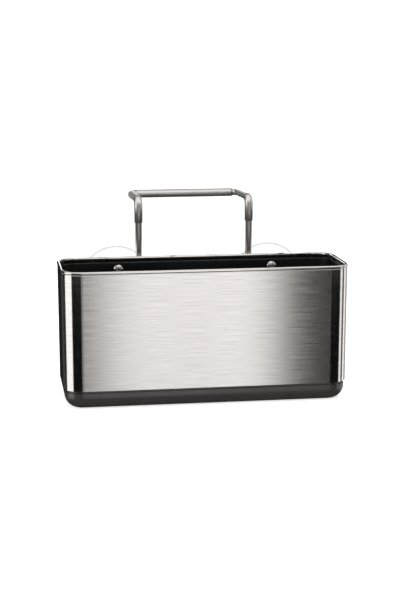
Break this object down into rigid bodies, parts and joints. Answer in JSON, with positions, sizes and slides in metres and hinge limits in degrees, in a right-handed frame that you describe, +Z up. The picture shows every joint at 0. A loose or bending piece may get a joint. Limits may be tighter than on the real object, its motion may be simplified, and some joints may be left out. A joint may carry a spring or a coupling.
{
  "type": "sink caddy",
  "caption": "Slim steel-walled sink caddy with a black liner, drain tray, suction cups and a sliding tube hoop that goes round the tap.",
  "frame": {"origin": "centre of the drain tray's flat resting face, under the middle of the body", "axes": "+X to the viewer's right when facing the front, -Y out of the front wall, +Y towards the hoop and the suction cups, +Z up"},
  "size_m": [0.2368, 0.1429, 0.164],
  "materials": {
    "brushed_steel": "stainless steel sheet, brushed along its length, with a polished rolled rim",
    "tube_steel": "stainless steel tube and rod, drawn, with a soft shine",
    "screw_steel": "stainless steel, turned and polished",
    "liner_plastic": "black polypropylene, moulded, with a low sheen",
    "tray_plastic": "charcoal ABS, moulded, with a fine satin texture",
    "bracket_plastic": "dark grey ABS, moulded",
    "bush_nylon": "natural nylon, moulded",
    "cup_vinyl": "clear soft vinyl, moulded and glossy"
  },
  "bodies": {
    "caddy": {"steel_wall": "brushed_steel", "inner_liner": "liner_plastic", "bracket_left": "bracket_plastic", "bracket_right": "bracket_plastic", "rod_bush_left": "bush_nylon", "rod_bush_right": "bush_nylon", "upper_bracket_screw_left": "screw_steel", "upper_bracket_screw_right": "screw_steel", "lower_bracket_screw_left": "screw_steel", "lower_bracket_screw_right": "screw_steel", "suction_cup_left": "cup_vinyl", "suction_cup_right": "cup_vinyl"},
    "tray": {"drain_tray": "tray_plastic"},
    "hoop": {"hoop_left": "tube_steel", "hoop_right": "tube_steel", "hoop_rod_left": "tube_steel", "hoop_rod_right": "tube_steel", "rod_stop_left": "screw_steel", "rod_stop_right": "screw_steel"}
  },
  "joints": [
    {"name": "hoop_height", "type": "slide", "parent": "caddy", "child": "hoop", "axis": [0, 0, 1], "range_m": [-0.0295, 0.0275]},
    {"name": "tray_release", "type": "slide", "parent": "caddy", "child": "tray", "axis": [0, 0, -1], "range_m": [0, 0.03]}
  ]
}
